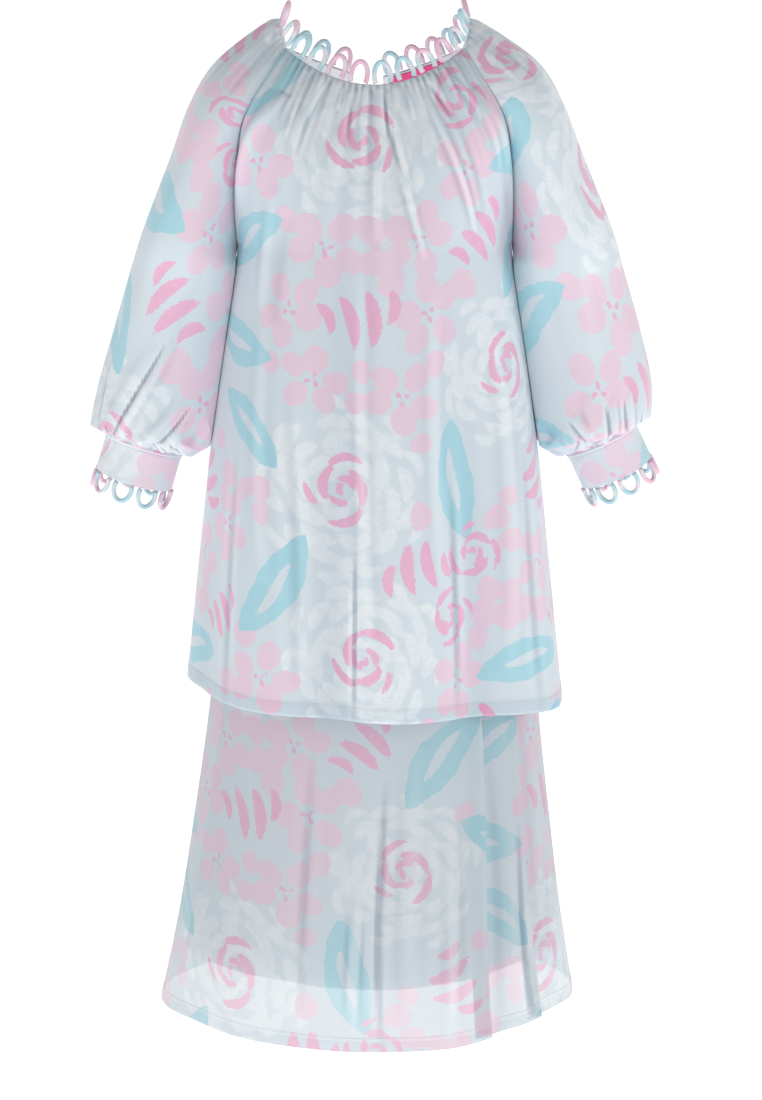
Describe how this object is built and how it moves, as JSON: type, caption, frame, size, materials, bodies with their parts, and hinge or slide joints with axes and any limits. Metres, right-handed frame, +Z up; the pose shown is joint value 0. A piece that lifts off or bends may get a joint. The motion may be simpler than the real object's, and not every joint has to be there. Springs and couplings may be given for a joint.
{
  "type": "child's baju kurung set",
  "caption": "Child's two-piece baju kurung: raglan tunic with puffed sleeves, deep cuffs and a looped cord trim, over a long lined skirt with side-laid pleats.",
  "frame": {"origin": "middle of the neck opening, level with the highest point of the shoulders, where the tunic rests on its wearer", "axes": "+Z up along the wearer's body, the front of the garment faces -Y, and +X is the wearer's left"},
  "size_m": [0.5053, 0.2762, 0.897],
  "materials": {
    "printed_cloth": "soft satin chiffon with an all-over printed flower pattern",
    "lining_cloth": "plain smooth lining cloth",
    "label_satin": "satin ribbon, bare",
    "cord_cloth": "bias-cut printed cloth sewn into a thin cord"
  },
  "bodies": {
    "root": {"tunic_front": "printed_cloth", "tunic_back_left": "printed_cloth", "tunic_back_right": "printed_cloth", "sleeve_left": "printed_cloth", "sleeve_right": "printed_cloth", "cuff_left": "printed_cloth", "cuff_right": "printed_cloth", "neck_facing": "lining_cloth", "neck_label": "label_satin", "neck_loop_1": "cord_cloth", "neck_loop_2": "cord_cloth", "neck_loop_3": "cord_cloth", "neck_loop_4": "cord_cloth", "neck_loop_5": "cord_cloth", "neck_loop_6": "cord_cloth", "neck_loop_7": "cord_cloth", "neck_loop_8": "cord_cloth", "neck_loop_9": "cord_cloth", "neck_loop_10": "cord_cloth", "neck_loop_11": "cord_cloth", "neck_loop_12": "cord_cloth", "neck_loop_13": "cord_cloth", "neck_loop_14": "cord_cloth", "neck_loop_15": "cord_cloth", "neck_loop_16": "cord_cloth", "neck_loop_17": "cord_cloth", "neck_loop_18": "cord_cloth", "neck_loop_19": "cord_cloth", "neck_loop_20": "cord_cloth", "neck_loop_21": "cord_cloth", "neck_loop_22": "cord_cloth", "neck_loop_23": "cord_cloth", "cuff_left_loop_1": "cord_cloth", "cuff_left_loop_2": "cord_cloth", "cuff_left_loop_3": "cord_cloth", "cuff_left_loop_4": "cord_cloth", "cuff_left_loop_5": "cord_cloth", "cuff_left_loop_6": "cord_cloth", "cuff_left_loop_7": "cord_cloth", "cuff_left_loop_8": "cord_cloth", "cuff_left_loop_9": "cord_cloth", "cuff_right_loop_1": "cord_cloth", "cuff_right_loop_2": "cord_cloth", "cuff_right_loop_3": "cord_cloth", "cuff_right_loop_4": "cord_cloth", "cuff_right_loop_5": "cord_cloth", "cuff_right_loop_6": "cord_cloth", "cuff_right_loop_7": "cord_cloth", "cuff_right_loop_8": "cord_cloth", "cuff_right_loop_9": "cord_cloth", "skirt_front": "printed_cloth", "skirt_back": "printed_cloth", "skirt_waistband": "printed_cloth", "lining_front": "lining_cloth", "lining_back": "lining_cloth"}
  },
  "joints": []
}
